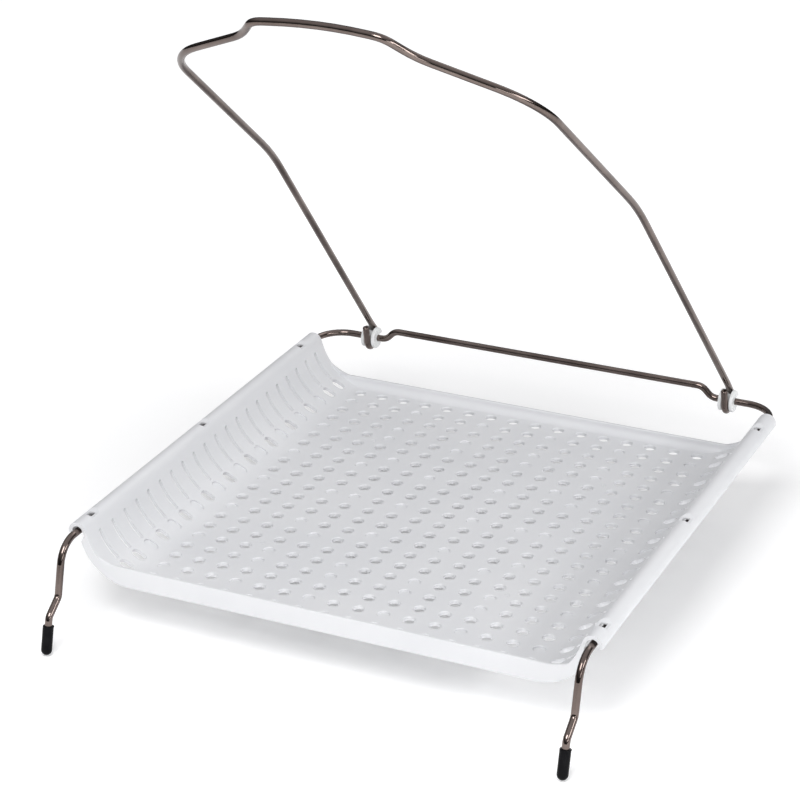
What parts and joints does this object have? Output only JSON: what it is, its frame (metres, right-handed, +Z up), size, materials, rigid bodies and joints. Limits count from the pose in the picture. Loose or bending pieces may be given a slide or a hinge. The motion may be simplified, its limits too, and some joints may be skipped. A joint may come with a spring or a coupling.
{
  "type": "wall mounted fold down drying rack",
  "caption": "Perforated white tray on a bent rod frame that hangs from the wall by a folding rod hanger; capped legs bear on the wall and the tray folds up flat.",
  "frame": {"origin": "middle of the hanging bar, the straight middle of the hanger's top that rests on the wall hook", "axes": "+X along the hinge and the hanging bar, +Y away from the wall, +Z up; the wall is on the -Y side"},
  "size_m": [0.376, 0.4336, 0.4361],
  "materials": {
    "white_plastic": "satin moulded",
    "bronze_rod": "polished dark bronze plating",
    "bush_plastic": "gloss moulded",
    "black_cap": "gloss dipped"
  },
  "bodies": {
    "hanger": {"hanger_rod": "bronze_rod", "bush_left": "bush_plastic", "bush_right": "bush_plastic"},
    "tray_frame": {"frame_rod": "bronze_rod", "tray": "white_plastic", "foot_cap_left": "black_cap", "foot_cap_right": "black_cap"}
  },
  "joints": [
    {"name": "tray_fold", "type": "hinge", "parent": "hanger", "child": "tray_frame", "pos_m": [0, 0.36881, -0.36453], "axis": [-1, 0, 0], "range_deg": [0, 48]}
  ]
}
